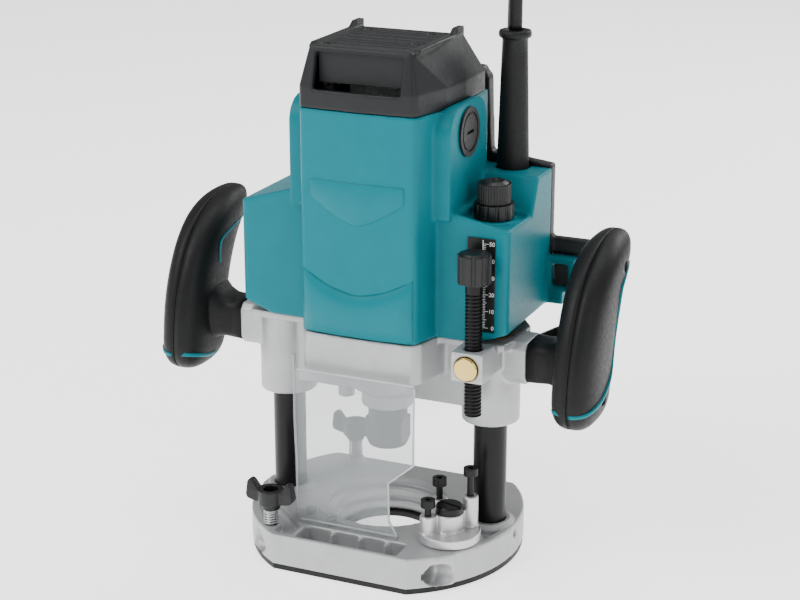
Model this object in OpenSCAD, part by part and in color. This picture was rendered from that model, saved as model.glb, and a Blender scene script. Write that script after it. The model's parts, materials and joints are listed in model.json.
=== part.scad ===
// Plunge router with two guide columns, side grips, depth turret and mains lead.
// X runs from the left grip to the right grip, -Y is the front, Z is up.
// The origin is where the spindle axis meets the underside of the sole.

/* [Base] */
// Diameter of the round base
base_d = 168; // [166:1:172]
// Height of the base with its sole
base_h = 22.5; // [22:0.5:24]
// Thickness of the dark sole sheet
sole_t = 3; // [2.5:0.5:3.5]
// Distance from the spindle axis to the front flat
front_flat = 72; // [71:1:74]
// Distance from the spindle axis to the rear flat
rear_flat = 57; // [57:1:60]
// Diameter of the guide bush seat
bush_seat_d = 60; // [58:1:60]
// Diameter of the two bores for fence rods
rod_bore_d = 12; // [10:1:12]

/* [Columns] */
// Distance between the two column axes
column_gap = 134; // [134:1:135]
// Outer diameter of a guide column
column_d = 20; // [19:0.5:20]
// Free plunge travel of the motor unit
plunge = 60; // [40:1:60]

/* [Depth stop] */
// Diameter of the stop pole
pole_d = 10.2; // [9:0.1:10.2]
// Diameter of the stop pole knob
pole_knob_d = 19.5; // [18:0.5:19.5]
// Diameter of the stop turret
turret_d = 38; // [36:1:38]

/* [Motor unit] */
// Width over the two shoulders of the housing
shoulder_w = 170; // [166:1:170]
// Height of the top of the housing above the sole
housing_top = 276; // [272:1:278]
// Height of the top cover
cover_h = 35; // [32:1:36]
// Diameter of the collet bore
collet_d = 12; // [6:1:12]
// Width across flats of the collet nut
nut_af = 24; // [22:1:24]

/* [Grips] */
// Distance from the spindle axis to the middle plane of a grip
grip_x = 126.5; // [125:0.5:128]
// Radius of the rounded grip section
grip_r = 15; // [14:0.5:15.5]

/* [Cord] */
// Diameter of the mains lead
cord_d = 8; // [7:0.5:8]

/* [Hidden] */
$fn = 64;

teal = [0, 0.6, 0.65];
dark = [0.13, 0.13, 0.13];
black = [0.06, 0.06, 0.06];
silver = [0.78, 0.78, 0.78];
steel = [0.6, 0.6, 0.62];
brass = [0.8, 0.66, 0.35];

cut = 0.1;
column_x = column_gap / 2;
column_r = column_d / 2;
run = 0.06;
seat_z = base_h + 2;
rod_z = 10.5;
rod_front_y = -60;
rod_rear_y = 49;
front_clamp = [-50, rod_front_y];
rear_clamp = [-45, rod_rear_y];
turret = [55, -34.7];
turret_z = base_h + 1;
disc_t = 5.5;
stop_circle = 13.75;
// Angle, boss top and head top of each stop screw
STOPS = [[228, 40, 50], [137, 43, 56], [46.6, 48, 65.5]];
pole = [68.9, -34.3];
pole_bottom = 103;
pole_knob_z = 183.3;
button_z = 134.4;
lever_x = 84;
lever_z = 128;
brush_z = 261;
bracket_top = 142.5;
boss_r = 17.3;
boss_bottom = 89;
column_top = 145.4;
roof_z = 206;
ledge_z = 212;
shoulder_x = shoulder_w / 2;
shoulder_front = -23.5;
body_rear = 48;
guard = [62, 43];
guard_top = 313;

function arc(cx, cy, r, a0, a1, n) = [for (i = [0 : n]) let (a = a0 + (a1 - a0) * i / n)
    [cx + r * cos(a), cy + r * sin(a)]];

module at(p, z = 0) {
    translate([p[0], p[1], z]) children();
}
module along_x(x, y, z) {
    translate([x, y, z]) rotate([0, 90, 0]) children();
}
module along_y(x, y, z) {
    translate([x, y, z]) rotate([-90, 0, 0]) children();
}
module both_sides() {
    children();
    mirror([1, 0, 0]) children();
}
// Slab whose outline is given in the side view, between two X values
module side_slab(x0, x1, points) {
    translate([x0, 0, 0]) rotate([90, 0, 90]) linear_extrude(x1 - x0) polygon(points);
}
// Slab whose outline is given in the front view, between two Y values
module front_slab(y0, y1, points) {
    translate([0, y1, 0]) rotate([90, 0, 0]) linear_extrude(y1 - y0) polygon(points);
}
module box(x0, x1, y0, y1, z0, z1) {
    translate([x0, y0, z0]) cube([x1 - x0, y1 - y0, z1 - z0]);
}
module base_outline(inset = 0) {
    intersection() {
        circle(base_d / 2 - inset, $fn = 128);
        translate([-base_d, -front_flat + inset])
            square([2 * base_d, front_flat + rear_flat - 2 * inset]);
    }
}
// Triangles of a swept tube with flat ends
function tube_faces(rings, side) = concat(
    [for (i = [0 : rings - 2]) for (j = [0 : side - 1]) let (k = (j + 1) % side)
        [i * side + j, i * side + k, (i + 1) * side + k]],
    [for (i = [0 : rings - 2]) for (j = [0 : side - 1]) let (k = (j + 1) % side)
        [i * side + j, (i + 1) * side + k, (i + 1) * side + j]],
    [[for (j = [side - 1 : -1 : 0]) j]],
    [[for (j = [0 : side - 1]) (rings - 1) * side + j]]);
// Coil spring as a swept wire, standing on z = 0
module spring(r, wire, turns, h, seg = 14) {
    n = turns * seg;
    side = 6;
    rise = h - wire;
    points = [for (i = [0 : n]) for (j = [0 : side - 1]) let (
            a = 360 * i / seg,
            b = 360 * j / side,
            q = r + wire / 2 * cos(b))
        [q * cos(a), q * sin(a), wire / 2 + rise * i / n + wire / 2 * sin(b)]];
    polyhedron(points, tube_faces(n + 1, side), convexity = 10);
}
// Fluted disc: a round with evenly spaced grooves
module fluted(r, h, flutes, groove) {
    linear_extrude(h) difference() {
        circle(r);
        for (i = [0 : flutes - 1]) rotate(360 * i / flutes)
            translate([r + groove * 0.35, 0]) circle(groove, $fn = 16);
    }
}

/* ---- base ---- */
SOLE_SCREWS = [[-42, -34], [40, -46], [-42, 34], [42, 34]];

module sole_plate() {
    color(black) difference() {
        linear_extrude(sole_t) base_outline(0.5);
        translate([0, 0, -cut]) cylinder(h = sole_t + 2 * cut, r = bush_seat_d / 2 - 3.5, $fn = 96);
        for (p = SOLE_SCREWS) at(p, -cut) cylinder(h = sole_t + 2 * cut, r = 2);
        for (p = SOLE_SCREWS) at(p, -cut) cylinder(h = 1.8 + cut, r = 3.6);
    }
}
module sole_screws() {
    color(steel) for (p = SOLE_SCREWS) at(p) difference() {
        union() {
            translate([0, 0, 0.3]) cylinder(h = 1.5, r = 3.6);
            translate([0, 0, 1.8]) cylinder(h = 7, r = 2);
        }
        translate([0, 0, 0.2]) cylinder(h = 1, r = 1.4, $fn = 6);
    }
}
module left_recess() {
    linear_extrude(6) intersection() {
        base_outline(5);
        polygon([[-33, -70], [-33, -55], [-57, -34], [-84, -24], [-84, -70]]);
    }
}
module right_recess() {
    linear_extrude(6) difference() {
        intersection() {
            base_outline(5);
            polygon([[58, -10], [84, -2], [84, -46], [70, -52]]);
        }
        translate(turret) circle(turret_d / 2 + 1.5);
        translate([column_x, 0]) circle(15.5);
    }
}
module base_casting() {
    color(silver) difference() {
        union() {
            difference() {
                union() {
                    translate([0, 0, sole_t]) linear_extrude(base_h - sole_t) base_outline();
                    at(turret, sole_t) cylinder(h = turret_z - 0.4 - sole_t, r = turret_d / 2 - 1);
                    intersection() {
                        translate([60.8, -56.6, sole_t]) cylinder(h = base_h - sole_t, r = 6.5);
                        cylinder(h = base_h, r = base_d / 2 + 1.2, $fn = 128);
                    }
                }
                translate([0, 0, base_h - 4.5]) left_recess();
                translate([0, 0, base_h - 4.5]) right_recess();
                box(-30, 36, -68.5, -52.5, 6, base_h + cut);
            }
            both_sides() translate([column_x, 0, 8]) cylinder(h = seat_z - 8, r = 14);
            at(front_clamp, 8) cylinder(h = 15.2, r = 5.6);
            at(rear_clamp, 8) cylinder(h = 18, r = 5.6);
            for (x = [-13, 5, 22]) box(x, x + 1.8, -56, -52, 5.5, base_h - 1);
            box(-2, 9, -60, -57.5, 5.5, 9);
        }
        translate([0, 0, sole_t - cut]) cylinder(h = base_h, r = bush_seat_d / 2, $fn = 96);
        translate([0, 0, 9]) cylinder(h = base_h, r = bush_seat_d / 2 + 3.5, $fn = 96);
        translate([0, 0, 17]) cylinder(h = base_h, r = bush_seat_d / 2 + 7, $fn = 96);
        both_sides() translate([column_x, 0, 6]) cylinder(h = base_h, r = column_r);
        for (y = [rod_front_y, rod_rear_y]) {
            along_x(-90, y, rod_z) cylinder(h = 180, r = rod_bore_d / 2);
            both_sides() along_x(54, y, rod_z) cylinder(h = 40, r = rod_bore_d / 2 + 0.9);
        }
        at(front_clamp, rod_z) cylinder(h = 30, r = 2.5 + run);
        at(rear_clamp, rod_z) cylinder(h = 30, r = 2.5 + run);
        at(turret, 8) cylinder(h = 30, r = 4);
        both_sides() along_x(column_x + 8, 0, 16) cylinder(h = 20, r = 2.5);
        for (p = SOLE_SCREWS) at(p, sole_t - cut) cylinder(h = 5.9, r = 2);
        for (p = DEFLECTOR_SCREWS) at(p, base_h - 7) cylinder(h = 8, r = 1.75);
    }
}
module guide_column(x) {
    color(black) translate([x, 0, 6]) difference() {
        cylinder(h = column_top - 6, r = column_r);
        translate([0, 0, 3]) cylinder(h = column_top, r = column_r - 2);
    }
}
module guide_column_left() {
    guide_column(-column_x);
}
module guide_column_right() {
    guide_column(column_x);
}
module column_set_screws() {
    color(steel) both_sides() along_x(column_x + column_r + 0.1, 0, 16) difference() {
        cylinder(h = 5.5, r = 2.5);
        translate([0, 0, 3.5]) cylinder(h = 3, r = 1.3, $fn = 6);
    }
}
module limit_rod() {
    color(black) translate([column_x, 0, 9]) cylinder(h = 222, r = 3.5);
}
module limit_nut() {
    color(black) translate([column_x, 0, ledge_z + 0.7]) difference() {
        fluted(11.6, 8.5, 12, 1.3);
        translate([0, 0, -cut]) cylinder(h = 10, r = 3.5 + run);
    }
}
module limit_knob() {
    color(black) translate([column_x, 0, ledge_z + 9.6]) difference() {
        union() {
            fluted(9.85, 11.2, 36, 0.5);
            translate([0, 0, 11]) cylinder(h = 1.6, r1 = 8.8, r2 = 6);
            translate([0, 0, 11]) cylinder(h = 3.2, r1 = 2.4, r2 = 0.4);
        }
        translate([0, 0, -cut]) cylinder(h = 9.9, r = 3.5 + run);
    }
}
module return_spring_left() {
    color(steel) translate([-column_x, 0, 9.2]) spring(5.8, 1.6, 16, roof_z - 9.6, 10);
}
module return_spring_right() {
    color(steel) translate([column_x, 0, 9.2]) spring(5.8, 1.6, 16, roof_z - 9.6, 10);
}
// Wing knob on a clamp screw; z is the underside of its collar
module wing_knob(z) {
    color(black) translate([0, 0, z]) difference() {
        union() {
            cylinder(h = 3, r = 5.6);
            translate([0, 0, 3]) cylinder(h = 9.5, r = 7.8);
            both_sides() hull() {
                along_y(8, -3.2, 7) cylinder(h = 6.4, r = 3.2, $fn = 32);
                along_y(12, -3.2, 8) cylinder(h = 6.4, r = 3.4, $fn = 32);
                along_y(12.4, -2.4, 15) cylinder(h = 4.8, r = 2.4, $fn = 32);
            }
        }
        translate([0, 0, 5]) cylinder(h = 12, r = 4.6);
        translate([0, 0, -cut]) cylinder(h = 6, r = 2.5);
    }
}
module clamp_screw(z0, z1) {
    color(steel) translate([0, 0, z0]) cylinder(h = z1 - z0, r = 2.5);
}
module front_clamp_knob() {
    at(front_clamp) wing_knob(33.5);
}
module front_clamp_screw() {
    at(front_clamp) clamp_screw(17, 38.4);
}
module front_clamp_spring() {
    color(steel) at(front_clamp) translate([0, 0, 23.4]) spring(4, 1.1, 5, 9.9);
}
module rear_clamp_knob() {
    at(rear_clamp) wing_knob(38);
}
module rear_clamp_screw() {
    at(rear_clamp) clamp_screw(17, 42.9);
}
module rear_clamp_spring() {
    color(steel) at(rear_clamp) translate([0, 0, 26.2]) spring(4, 1.1, 5, 11.6);
}
module stop_turret() {
    color(silver) at(turret) difference() {
        union() {
            translate([0, 0, turret_z]) cylinder(h = disc_t, r = turret_d / 2);
            translate([0, 0, turret_z + 1]) cylinder(h = 39.7 - turret_z - 1, r = 8.9);
            for (s = STOPS) rotate(s[0]) translate([stop_circle, 0, turret_z + 1])
                cylinder(h = s[1] - turret_z - 1, r = 4.8);
        }
        translate([0, 0, turret_z - cut]) cylinder(h = 30, r = 4 + run);
        for (s = STOPS) rotate(s[0]) translate([stop_circle, 0, 26]) cylinder(h = 40, r = 2);
    }
}
module stop_screws() {
    color(black) at(turret) for (s = STOPS) rotate(s[0]) translate([stop_circle, 0, 0])
        difference() {
            union() {
                translate([0, 0, 26.5]) cylinder(h = s[2] - 30, r = 2);
                translate([0, 0, s[2] - 4.6]) cylinder(h = 4.6, r = 4.3);
            }
            translate([0, 0, s[2] - 2.6]) cylinder(h = 3, r = 2, $fn = 6);
        }
}
module turret_screw() {
    color(black) at(turret) difference() {
        union() {
            translate([0, 0, 8.2]) cylinder(h = 32, r = 4);
            translate([0, 0, 40]) cylinder(h = 3.6, r = 8);
            translate([0, 0, 43.6]) cylinder(h = 1, r1 = 8, r2 = 7.2);
        }
        rotate(-14) box(-9, 9, -0.9, 0.9, 42.9, 46);
    }
}

/* ---- chip deflector ---- */
DEFLECTOR_SCREWS = [[-34.5, -36.5], [-17, -44.5]];
shield_front = -51;
shield_t = 2;

// Plan of the shield: flat front, swept back on the left
module shield_plan() {
    polygon([[39, shield_front], [39, shield_front + shield_t], [-36, shield_front + shield_t],
        [-49, -26], [-50.8, -27], [-37, shield_front]]);
}
module deflector() {
    color([0.8, 0.85, 0.85, 0.4]) difference() {
        union() {
            intersection() {
                translate([0, 0, base_h + 0.1]) linear_extrude(100) shield_plan();
                front_slab(-60, -10, [[28.5, base_h], [22.5, 35], [22.5, 59], [39, 72.5],
                    [39, 121], [-52, 121], [-52, 95], [-50, 78], [-47, 66], [-44, 58], [-43, base_h]]);
            }
            translate([0, 0, base_h + 0.1]) linear_extrude(2) polygon([[-43, -39.5],
                [-37, shield_front], [28, shield_front], [28, -46], [-9, -46], [-25, -38], [-34, -30]]);
        }
        for (p = DEFLECTOR_SCREWS) at(p, base_h - 1) cylinder(h = 5, r = 1.75);
    }
}
module deflector_screws() {
    color(steel) for (p = DEFLECTOR_SCREWS) at(p) difference() {
        union() {
            translate([0, 0, base_h - 6]) cylinder(h = 8.1, r = 1.75);
            translate([0, 0, base_h + 2.1]) cylinder(h = 2, r = 3.4);
        }
        rotate(30) box(-2.4, 2.4, -0.4, 0.4, base_h + 3.3, base_h + 5);
        rotate(120) box(-2.4, 2.4, -0.4, 0.4, base_h + 3.3, base_h + 5);
    }
}

/* ---- motor bracket ---- */
// Half plan of the skirt below the housing, walked from front to rear
module skirt_plan(w, front) {
    polygon([[-w + 5, front], [0, front - 1.5], [w - 5, front], [w, front + 6], [w + 6, 0],
        [w + 2, 40], [w - 8, 46], [-w + 8, 46], [-w - 2, 40], [-w - 6, 0], [-w, front + 6]]);
}
module motor_bracket() {
    color(silver) difference() {
        union() {
            difference() {
                translate([0, 0, 117.6]) linear_extrude(bracket_top - 117.6)
                    skirt_plan(38, -43);
                translate([0, 0, 117]) linear_extrude(19) skirt_plan(34, -39);
            }
            translate([0, 0, 88]) cylinder(h = 50, r = 16);
            translate([0, 0, 97]) cylinder(h = 3.1, r1 = 16, r2 = 22);
            translate([0, 0, 100]) cylinder(h = 38, r = 22);
            box(-60, 60, -12, 12, 98, 138);
            box(-5, 5, -41, -20, 112, 138);
            both_sides() translate([column_x, 0, boss_bottom])
                cylinder(h = bracket_top - boss_bottom, r = boss_r);
            translate([-32.5, 10, 84]) cylinder(h = 53, r = 5.2);
            translate([0, 0, 138]) linear_extrude(bracket_top - 138) polygon([[44, -20],
                [shoulder_x - 3, -20], [shoulder_x - 1, -12], [shoulder_x - 1, 20], [70, 40], [-70, 40],
                [-shoulder_x + 1, 20], [-shoulder_x + 1, -12], [-shoulder_x + 3, -20], [-44, -20]]);
            both_sides() translate([0, 0, 130]) intersection() {
                box(60, 93, -14, 14, -13, 12.5);
                rotate([0, 90, 0]) translate([0, 0, 60]) linear_extrude(40) polygon([[-12.5, -10],
                    [-9, -13.5], [9, -13.5], [13, -10], [13, 10], [9, 13.5], [-9, 13.5], [-12.5, 10]]);
            }
            box(pole[0] - 10, pole[0] + 9.5, -44.5, -24, 126, 143.6);
            box(pole[0] - 10, pole[0] + 9.5, -24.5, -8, 126, 141);
            along_y(lever_x, 10, lever_z) cylinder(h = 18, r = 3);
        }
        both_sides() translate([column_x, 0, boss_bottom - cut])
            cylinder(h = 60, r = column_r + 2.5);
        at(pole, 110) cylinder(h = 40, r = pole_d / 2 + run);
        along_y(pole[0] - 0.5, -45, button_z) cylinder(h = 4.7, r = 7.1 + run);
        translate([0, 0, 80]) cylinder(h = 24.2, r = 12.5);
        translate([0, 0, 104]) cylinder(h = 40, r = 17.5);
        translate([-32.5, 10, 79]) cylinder(h = 12, r = 2.5);
        translate([0, 0, 137.9]) cylinder(h = 10, r = 33);
    }
}
module column_bushings() {
    color(brass) both_sides() translate([column_x, 0, boss_bottom + 1]) difference() {
        cylinder(h = bracket_top - boss_bottom - 1, r = column_r + 2.5);
        translate([0, 0, -cut]) cylinder(h = 80, r = column_r + run);
    }
}

/* ---- housing ---- */
// Plan of the motor tower, narrower at the front
module tower_plan(inset = 0) {
    w = 36.5 - inset;
    polygon(concat([[-w + 2, -42.5 + inset], [-w / 2, -43.8 + inset], [0, -44.3 + inset],
        [w / 2, -43.8 + inset], [w - 2, -42.5 + inset], [w, -40 + inset], [w + 7, -14],
        [w + 8.5, 10], [w + 7.5, body_rear - inset]], [[-w - 7.5, body_rear - inset],
        [-w - 8.5, 10], [-w - 7, -14], [-w, -40 + inset]]));
}
module shoulder_shape(inset = 0) {
    x = shoulder_x - inset;
    y = shoulder_front + inset;
    linear_extrude(240) polygon([[0, y], [x - 2, y], [x, y + 2], [x + 0, body_rear - inset],
        [0, body_rear - inset]]);
}
// Front view of a shoulder: sloping outer foot and sloping top
module shoulder_limits(top_in, top_out, inset = 0) {
    x = shoulder_x - inset;
    front_slab(-60, 60, [[0, bracket_top + 0.3], [66, bracket_top + 0.3], [x, 150], [x, top_out - inset],
        [52, top_in - inset], [0, top_in - inset]]);
}
module motor_housing() {
    color(teal) difference() {
        union() {
            translate([0, 0, bracket_top + 0.3]) linear_extrude(housing_top - bracket_top - 0.3)
                tower_plan();
            intersection() {
                shoulder_shape();
                shoulder_limits(218, ledge_z - 1);
            }
            intersection() {
                mirror([1, 0, 0]) shoulder_shape();
                mirror([1, 0, 0]) shoulder_limits(222, ledge_z);
            }
            box(40, shoulder_x, 24, body_rear, 190, 232);
            side_slab(40, shoulder_x, [[12, 205], [24, 232], [26, 232], [26, 205]]);
            translate([column_x, 0, 200]) cylinder(h = ledge_z - 200, r = 13.5);
            both_sides()
                side_slab(36, 50.5, concat([[31, 214], [-27, 214]],
                    arc(-12, 263, 15, 180, 90, 6), arc(16, 263, 15, 90, 0, 6)));
            box(shoulder_x - 2, shoulder_x + 1, 42, body_rear, 150, 178);
            box(shoulder_x, 95, 42, 56, 150, 178.6);
            box(90, 102, 42, 56, 158, 178.6);
        }
        translate([0, 0, housing_top]) linear_extrude(10) tower_plan(-0.3);
        difference() {
            box(53.5, shoulder_x - 3.5, shoulder_front + 4, 14.5, 209.5, 240);
            translate([column_x, 0, 200]) cylinder(h = ledge_z - 200, r = 13.5);
        }
        translate([0, 0, 140]) linear_extrude(140) tower_plan(3.5);
        both_sides() box(47, shoulder_x - 3, shoulder_front + 3.5, body_rear - 3.5, 140, roof_z);
        both_sides() box(40, 50, shoulder_front + 5, body_rear - 5, 140, 200);
        translate([column_x, 0, 190]) cylinder(h = 40, r = 4.4);
        both_sides() along_x(30, 0, brush_z) cylinder(h = 40, r = 12);
        box(pole[0] - 8.6, pole[0] + 8.4, -30, shoulder_front + 0.5, 150.4, 206.4);
        at(guard, 225.7) cylinder(h = 30, r = 9.95);
        box(88, 98, 40, 60, 161, 175);
    }
}
module scale_plate() {
    color(black) box(pole[0] - 8.5, pole[0] + 8.3, shoulder_front - 0.3, shoulder_front + 0.45,
        150.5, 206.3);
}
module cover_solid(inset = 0) {
    hull() {
        translate([0, 0, housing_top + 0.3]) linear_extrude(12 - inset) intersection() {
            tower_plan(inset);
            translate([-60, -60]) square([120, 60 + body_rear - 6 - inset]);
        }
        translate([0, 0, housing_top + cover_h - 1 - inset]) linear_extrude(1)
            polygon([[-31 + inset, -37 + inset], [31 - inset, -37 + inset], [35 - inset, 30 - inset],
                [-35 + inset, 30 - inset]]);
    }
}
module top_cover() {
    top = housing_top + cover_h;
    color(dark) difference() {
        union() {
            cover_solid();
            both_sides() side_slab(30, 34, [[-34, top - 2], [34, top - 2], [34, top + 4], [24, top + 4],
                [20, top + 1], [-30, top + 0.8]]);
        }
        difference() {
            translate([0, 0, -1]) cover_solid(3);
            for (p = COVER_SCREWS) at(p, top - 30) cylinder(h = 30, r = 4.5);
        }
        box(-27, 27, -50, -34.5, top - 24, top - 3);
        box(-25, 25, -36, -30, top - 24, top - 20);
        for (y = [-27 : 4.6 : 24]) box(-27, 27, y, y + 1.6, top - 5, top + 1);
        for (p = COVER_SCREWS) at(p, top - 34) cylinder(h = 40, r = 2.2);
        for (p = COVER_SCREWS) at(p, top - 2.5) cylinder(h = 6, r = 3.6);
    }
}
COVER_SCREWS = [[-24, -27], [24, -10], [-20, 22], [20, 22]];
module top_cover_screws() {
    top = housing_top + cover_h;
    color(steel) for (p = COVER_SCREWS) at(p) difference() {
        union() {
            translate([0, 0, top - 26]) cylinder(h = 23.5, r = 2.2);
            translate([0, 0, top - 2.5]) cylinder(h = 2, r = 3.6);
        }
        translate([0, 0, top - 1.5]) cylinder(h = 2, r = 1.3, $fn = 6);
    }
}
// Rear view outline of the rear cover
REAR = [[-44, 152], [84.5, 152], [84.5, 233.5], [46, 238], [44, 282], [40, 289], [-40, 289],
    [-44, 282], [-46, 224], [-84.5, 213], [-84.5, 152]];
module rear_cover() {
    color(dark) difference() {
        union() {
            front_slab(body_rear + 0.3, 57, REAR);
            hull() {
                box(-43, 43, 50, 58, 165, 284);
                box(-30, 30, 50, 80, 176, 270);
                box(-24, 24, 50, 90, 184, 258);
            }
            box(84, 110, 50, 57, 179, 189);
        }
        hull() {
            box(-40, 40, 40, 56, 168, 280);
            box(-26, 26, 40, 77, 178, 267);
            box(-21, 21, 40, 85, 188, 254);
        }
        both_sides() box(50, 81, 40, 54, 156, 208);
        for (z = [190 : 6 : 250]) box(-18, 18, 80, 92, z, z + 2);
        at(guard, 225.7) cylinder(h = 30, r = 10.2);
    }
}
module brush_caps() {
    color(black) both_sides() along_x(46, 0, brush_z) difference() {
        union() {
            cylinder(h = 5.5, r = 12);
            translate([0, 0, 4.6]) cylinder(h = 1.4, r = 14.4);
        }
        box(-0.9, 0.9, -5, 5, 4.4, 8);
        translate([0, 0, 5.2]) difference() {
            cylinder(h = 2, r = 11.6);
            cylinder(h = 3, r = 10.4);
        }
    }
}
module brush_holders() {
    color(brass) both_sides() along_x(15, 0, brush_z) difference() {
        cylinder(h = 30.9, r = 6);
        translate([0, 0, -cut]) box(-3, 3, -4.5, 4.5, 0, 28);
    }
}
module stator() {
    color(steel) translate([0, 0, 164]) difference() {
        linear_extrude(60) intersection() {
            square([66, 74], center = true);
            circle(37.5);
        }
        translate([0, 0, -cut]) cylinder(h = 61, r = 24);
    }
}
module bearing(outer, inner, h) {
    color(steel) difference() {
        cylinder(h = h, r = outer);
        translate([0, 0, -cut]) cylinder(h = h + 2 * cut, r = inner);
        for (z = [-cut, h - 0.8]) translate([0, 0, z]) difference() {
            cylinder(h = 0.9, r = outer - 3);
            translate([0, 0, -cut]) cylinder(h = 2, r = inner + 2.5);
        }
    }
}
module lower_bearing() {
    translate([0, 0, 104.3]) bearing(17.5, 7.5, 12);
}
module upper_bearing() {
    translate([0, 0, 279]) bearing(11, 5, 9);
    color(dark) difference() {
        translate([0, 0, 279]) linear_extrude(9) square([36, 24], center = true);
        translate([0, 0, 278]) cylinder(h = 12, r = 11);
    }
}
module spindle_shaft() {
    color(steel) union() {
        translate([0, 0, 86]) cylinder(h = 18, r = 11);
        translate([0, 0, 104]) cylinder(h = 32, r = 7.5 - run);
        translate([0, 0, 136]) cylinder(h = 136, r = 6);
        translate([0, 0, 272]) cylinder(h = 17, r = 5 - run);
    }
}
module armature_core() {
    color(steel) translate([0, 0, 166]) difference() {
        cylinder(h = 56, r = 23);
        translate([0, 0, -cut]) cylinder(h = 60, r = 6);
        for (i = [0 : 11]) rotate(30 * i) translate([21.5, 0, -cut]) box(-1, 3, -1, 1, 0, 60);
    }
}
module commutator() {
    color([0.75, 0.45, 0.25]) translate([0, 0, 250]) difference() {
        cylinder(h = 18, r = 13);
        translate([0, 0, -cut]) cylinder(h = 20, r = 6);
        for (i = [0 : 11]) rotate(30 * i) box(12.2, 14, -0.3, 0.3, -1, 20);
    }
}
module cooling_fan() {
    color(dark) translate([0, 0, 144]) difference() {
        union() {
            cylinder(h = 2, r = 31);
            cylinder(h = 12, r = 10);
            for (i = [0 : 10]) rotate(360 * i / 11) box(8, 30, -0.8, 0.8, 1, 11);
        }
        translate([0, 0, -cut]) cylinder(h = 20, r = 6);
    }
}
module collet() {
    color(steel) translate([0, 0, 62.3]) difference() {
        cylinder(h = 23.6, r = 9.6);
        translate([0, 0, -cut]) cylinder(h = 24, r = collet_d / 2);
        for (a = [0, 120, 240]) rotate(a) box(collet_d / 2 - 1, 9, -0.5, 0.5, -1, 16);
    }
}
module collet_nut() {
    color(dark) translate([0, 0, 61.8]) difference() {
        union() {
            intersection() {
                rotate(30) cylinder(h = 17.5, r = nut_af / sqrt(3), $fn = 6);
                translate([0, 0, 0]) cylinder(h = 17.5, r1 = nut_af / 2 - 0.4, r2 = nut_af / 2 + 8);
            }
            translate([0, 0, 17]) cylinder(h = 6.9, r = 12);
        }
        translate([0, 0, -cut]) cylinder(h = 30, r = 9.6);
    }
}
module stop_pole() {
    color(black) at(pole, pole_bottom) union() {
        cylinder(h = 1.2, r1 = pole_d / 2 - 1, r2 = pole_d / 2);
        translate([0, 0, 1.2]) cylinder(h = pole_knob_z - pole_bottom - 1.2, r = pole_d / 2);
    }
}
module stop_pole_knob() {
    color(black) at(pole, pole_knob_z) union() {
        fluted(pole_knob_d / 2, 16.4, 10, 1.4);
        translate([0, 0, 16.4]) cylinder(h = 1.2, r1 = 8.4, r2 = 7.2);
    }
}
module fast_feed_button() {
    color(brass) along_y(pole[0] - 0.5, -46.4, button_z) union() {
        cylinder(h = 0.8, r1 = 6.4, r2 = 7.1);
        translate([0, 0, 0.8]) cylinder(h = 2.6, r = 7.1);
    }
}
module lock_lever() {
    color(black) difference() {
        union() {
            along_y(lever_x, 20.5, lever_z) cylinder(h = 9, r = 7);
            hull() {
                along_y(lever_x, 23, lever_z) cylinder(h = 6, r = 5, $fn = 32);
                along_y(lever_x + 15, 24, lever_z + 10) cylinder(h = 5, r = 3.6, $fn = 32);
            }
        }
        along_y(lever_x, 20, lever_z) cylinder(h = 8.3, r = 3 + run);
    }
}
module switch_body() {
    color(dark) box(54, 80, 30, 44, 158, 196);
}
module switch_lever() {
    color(black) union() {
        box(89, 97, 46, 60, 162, 174);
        box(90, 96, 59.6, 63, 158, 178);
    }
}

/* ---- grips ---- */
// Centre of the front and rear roundings of a grip section, at each level
GRIP = [[114, -22, -8], [132, -22, 2], [152, -17, 10], [172, -8, 18], [189, 6, 24]];
module grip_solid() {
    for (i = [0 : len(GRIP) - 2]) hull() for (g = [GRIP[i], GRIP[i + 1]]) for (k = [1, 2])
        translate([grip_x, g[k], g[0]]) sphere(grip_r, $fn = 24);
}
module grip_neck() {
    along_x(93.2, 0, 130) linear_extrude(grip_x - 93.2) polygon([[-12.5, -10], [-9, -13.5],
        [9, -13.5], [13, -10], [13, 10], [9, 13.5], [-9, 13.5], [-12.5, 10]]);
}
module grip_inner() {
    color(black) intersection() {
        union() {
            grip_solid();
            grip_neck();
        }
        box(60, grip_x - 0.2, -80, 80, 60, 240);
    }
}
module grip_outer() {
    color(black) difference() {
        intersection() {
            grip_solid();
            box(grip_x + 0.2, 170, -80, 80, 60, 240);
        }
        for (s = GRIP_SCREWS) along_x(grip_x + 6, s[0], s[1]) cylinder(h = 30, r = 3.1);
    }
}
GRIP_SCREWS = [[16, 187], [-10, 117]];
module grip_left_inner() {
    mirror([1, 0, 0]) grip_inner();
}
module grip_left_outer() {
    mirror([1, 0, 0]) grip_outer();
}
module grip_right_inner() {
    grip_inner();
}
module grip_right_outer() {
    grip_outer();
}
module grip_screws() {
    color(steel) both_sides() for (s = GRIP_SCREWS) along_x(grip_x + 6, s[0], s[1]) difference() {
        cylinder(h = 2.5, r = 3.1);
        translate([0, 0, 1.2]) cylinder(h = 2, r = 1.4, $fn = 6);
    }
}

/* ---- mains lead ---- */
module cord_guard() {
    color(dark) at(guard) difference() {
        union() {
            translate([0, 0, 226]) cylinder(h = 80, r1 = 9.8, r2 = 8.2);
            translate([0, 0, 306]) cylinder(h = 3, r1 = 8.2, r2 = 7.8);
            translate([0, 0, 309]) cylinder(h = 4, r = 9.6);
        }
        translate([0, 0, 290]) cylinder(h = 40, r = cord_d / 2 + 0.5);
    }
}
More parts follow.
